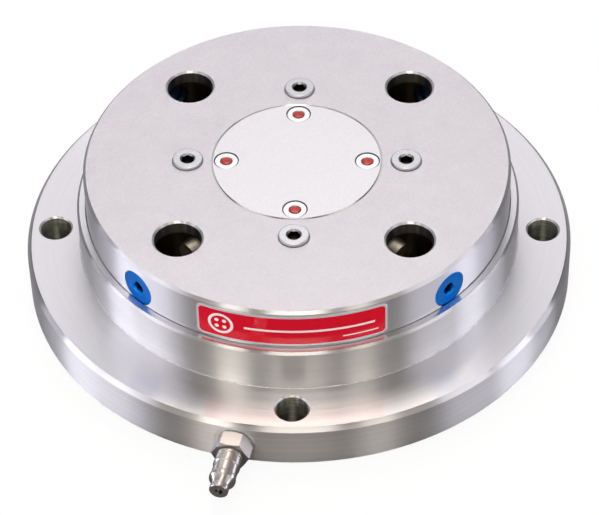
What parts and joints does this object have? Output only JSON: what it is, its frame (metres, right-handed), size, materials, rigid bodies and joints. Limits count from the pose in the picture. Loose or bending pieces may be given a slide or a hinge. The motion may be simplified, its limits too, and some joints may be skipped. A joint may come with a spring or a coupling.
{
  "type": "pneumatic quick change base plate",
  "caption": "Round stepped steel base plate with stud bores, spring-held lock pins released by air, a flush centre cover and an air nipple on its flange.",
  "frame": {"origin": "centre of the mounting face under the flange, on the plate's axis", "axes": "+Z out of the clamping face, -Y to the front, where the air nipple and the label are, +X to the right seen from the front"},
  "size_m": [0.236, 0.2608, 0.0617],
  "materials": {
    "steel_base": "fine turned steel",
    "steel_body": "ground steel, satin",
    "steel_cover": "ground steel, satin",
    "steel_screw": "turned stainless steel",
    "bright_screw": "bright plated steel",
    "hard_steel": "hardened and ground steel",
    "spring_steel": "oiled spring steel",
    "blue_aluminium": "blue anodised",
    "seal_rubber": "moulded nitrile rubber",
    "red_lacquer": "set sealing lacquer",
    "bright_nipple": "nickel plated, turned",
    "sealing_washer": "plain",
    "label": "printed film on thin plate"
  },
  "bodies": {
    "base": {"mounting_flange": "steel_base", "cylinder_housing": "steel_base", "spigot_seal": "seal_rubber", "locating_dowels": "hard_steel", "body_seal": "seal_rubber", "backing_disc": "steel_body", "clamp_body": "steel_body", "body_screws": "steel_screw", "bore_plugs": "blue_aluminium", "bore_plug_seals": "seal_rubber", "centre_cover": "steel_cover", "cover_seal": "seal_rubber", "cover_screws": "bright_screw", "cover_screw_lacquer": "red_lacquer", "disc_springs": "spring_steel", "nipple_body": "bright_nipple", "nipple_washer": "sealing_washer", "nipple_spring": "spring_steel", "label_plate": "label"},
    "piston": {"drive_piston": "hard_steel", "piston_seal": "seal_rubber"},
    "pin_back_right": {"lock_pin_back_right": "hard_steel", "lock_pin_seal_back_right": "seal_rubber"},
    "pin_back_left": {"lock_pin_back_left": "hard_steel", "lock_pin_seal_back_left": "seal_rubber"},
    "pin_front_left": {"lock_pin_front_left": "hard_steel", "lock_pin_seal_front_left": "seal_rubber"},
    "pin_front_right": {"lock_pin_front_right": "hard_steel", "lock_pin_seal_front_right": "seal_rubber"},
    "valve": {"nipple_poppet": "bright_nipple", "nipple_poppet_seal": "seal_rubber"}
  },
  "joints": [
    {"name": "piston_lift", "type": "slide", "parent": "base", "child": "piston", "axis": [0, 0, 1], "range_m": [0, 0.0074], "stiffness_N_per_m": 20000, "deforming": ["disc_springs"]},
    {"name": "pin_back_right_slide", "type": "slide", "parent": "base", "child": "pin_back_right", "axis": [-0.7071, -0.7071, 0], "range_m": [0, 0.00555]},
    {"name": "pin_back_left_slide", "type": "slide", "parent": "base", "child": "pin_back_left", "axis": [0.7071, -0.7071, 0], "range_m": [0, 0.00555]},
    {"name": "pin_front_left_slide", "type": "slide", "parent": "base", "child": "pin_front_left", "axis": [0.7071, 0.7071, 0], "range_m": [0, 0.00555]},
    {"name": "pin_front_right_slide", "type": "slide", "parent": "base", "child": "pin_front_right", "axis": [-0.7071, 0.7071, 0], "range_m": [0, 0.00555]},
    {"name": "nipple_valve", "type": "slide", "parent": "base", "child": "valve", "axis": [0.1994, 0.9799, 0], "range_m": [0, 0.0015], "stiffness_N_per_m": 20, "deforming": ["nipple_spring"]}
  ],
  "couplings": [
    {"joint": "pin_back_right_slide", "follows": "piston_lift", "ratio": 0.75},
    {"joint": "pin_back_left_slide", "follows": "piston_lift", "ratio": 0.75},
    {"joint": "pin_front_left_slide", "follows": "piston_lift", "ratio": 0.75},
    {"joint": "pin_front_right_slide", "follows": "piston_lift", "ratio": 0.75}
  ]
}
